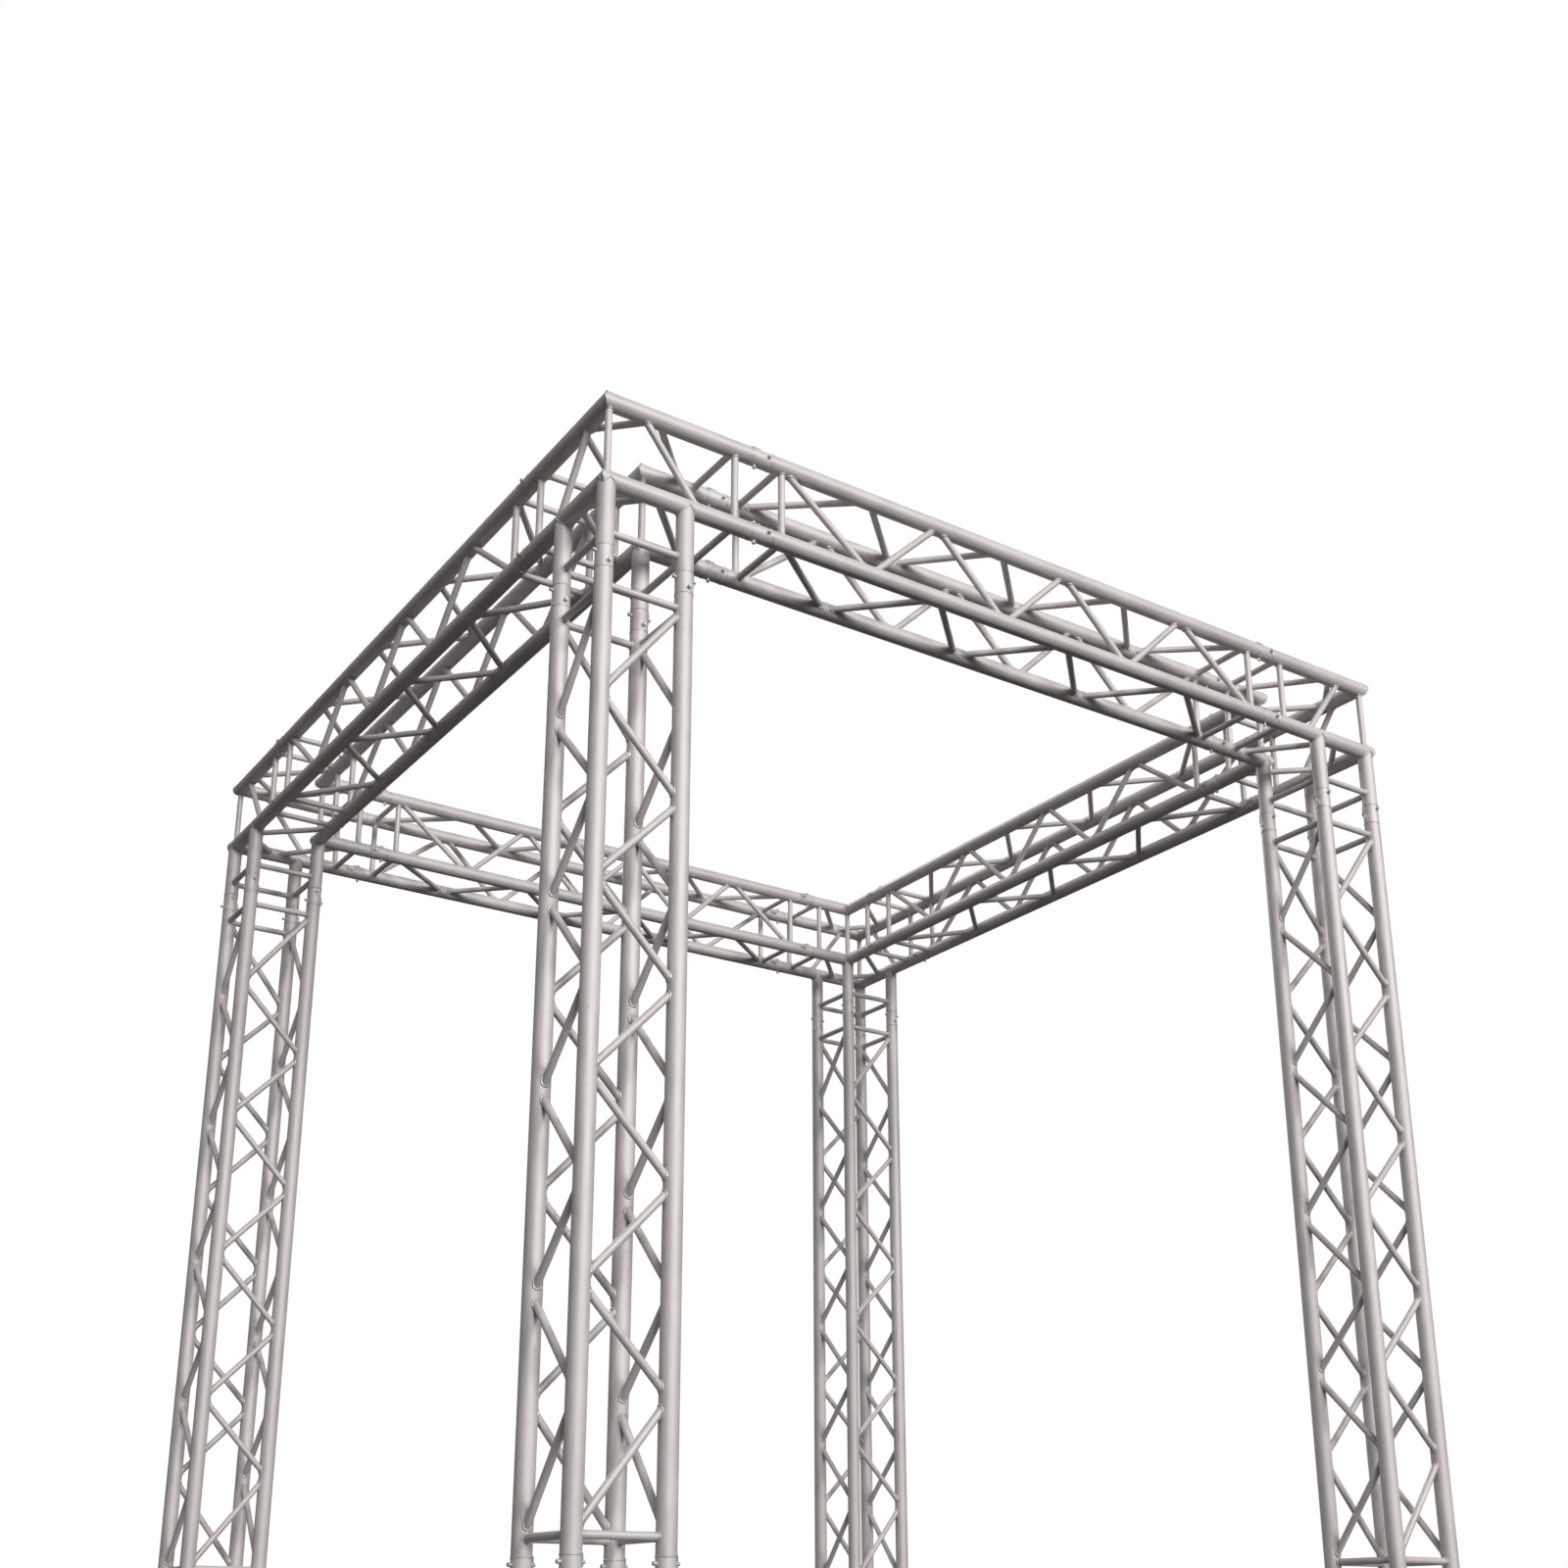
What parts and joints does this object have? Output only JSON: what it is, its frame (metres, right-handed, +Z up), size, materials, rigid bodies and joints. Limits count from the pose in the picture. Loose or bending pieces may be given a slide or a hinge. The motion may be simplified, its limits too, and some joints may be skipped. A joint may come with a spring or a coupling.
{
  "type": "box truss frame",
  "caption": "Free-standing square box-truss frame: latticed tube legs and an overhead ring of beams joined at corner blocks by pinned conical couplers, on flat base plates.",
  "frame": {"origin": "centre of the footprint at floor level, under the base plates", "axes": "+Z up, +X to the right and -Y to the front; the legs stand at the corners, and the main tubes run along X, Y and Z"},
  "size_m": [3.11, 3.11, 3.518],
  "materials": {
    "chord_tube": "mill-finish extruded tube, matt silver",
    "brace_tube": "mill-finish extruded tube, matt silver",
    "machined_fitting": "turned and welded",
    "coupler_metal": "turned",
    "pin_steel": "zinc plated",
    "clip_steel": "bright zinc plated wire",
    "base_plate": "rolled plate, lightly scuffed"
  },
  "bodies": {
    "root": {"front_beam_chords": "chord_tube", "front_beam_braces": "brace_tube", "front_beam_receivers": "machined_fitting", "right_beam_chords": "chord_tube", "right_beam_braces": "brace_tube", "right_beam_receivers": "machined_fitting", "back_beam_chords": "chord_tube", "back_beam_braces": "brace_tube", "back_beam_receivers": "machined_fitting", "left_beam_chords": "chord_tube", "left_beam_braces": "brace_tube", "left_beam_receivers": "machined_fitting", "front_left_leg_chords": "chord_tube", "front_left_leg_braces": "brace_tube", "front_left_leg_receivers": "machined_fitting", "front_right_leg_chords": "chord_tube", "front_right_leg_braces": "brace_tube", "front_right_leg_receivers": "machined_fitting", "back_right_leg_chords": "chord_tube", "back_right_leg_braces": "brace_tube", "back_right_leg_receivers": "machined_fitting", "back_left_leg_chords": "chord_tube", "back_left_leg_braces": "brace_tube", "back_left_leg_receivers": "machined_fitting", "front_left_foot_chords": "chord_tube", "front_left_foot_braces": "brace_tube", "front_left_foot_receivers": "machined_fitting", "front_right_foot_chords": "chord_tube", "front_right_foot_braces": "brace_tube", "front_right_foot_receivers": "machined_fitting", "back_right_foot_chords": "chord_tube", "back_right_foot_braces": "brace_tube", "back_right_foot_receivers": "machined_fitting", "back_left_foot_chords": "chord_tube", "back_left_foot_braces": "brace_tube", "back_left_foot_receivers": "machined_fitting", "front_left_corner_chords": "chord_tube", "front_left_corner_braces": "brace_tube", "front_left_corner_receivers": "machined_fitting", "front_right_corner_chords": "chord_tube", "front_right_corner_braces": "brace_tube", "front_right_corner_receivers": "machined_fitting", "back_right_corner_chords": "chord_tube", "back_right_corner_braces": "brace_tube", "back_right_corner_receivers": "machined_fitting", "back_left_corner_chords": "chord_tube", "back_left_corner_braces": "brace_tube", "back_left_corner_receivers": "machined_fitting", "beam_couplers": "coupler_metal", "beam_taper_pins": "pin_steel", "beam_spring_clips": "clip_steel", "leg_couplers": "coupler_metal", "leg_taper_pins": "pin_steel", "leg_spring_clips": "clip_steel", "front_left_base_plate": "base_plate", "front_right_base_plate": "base_plate", "back_right_base_plate": "base_plate", "back_left_base_plate": "base_plate", "base_cones": "coupler_metal", "base_bolts": "pin_steel"}
  },
  "joints": []
}
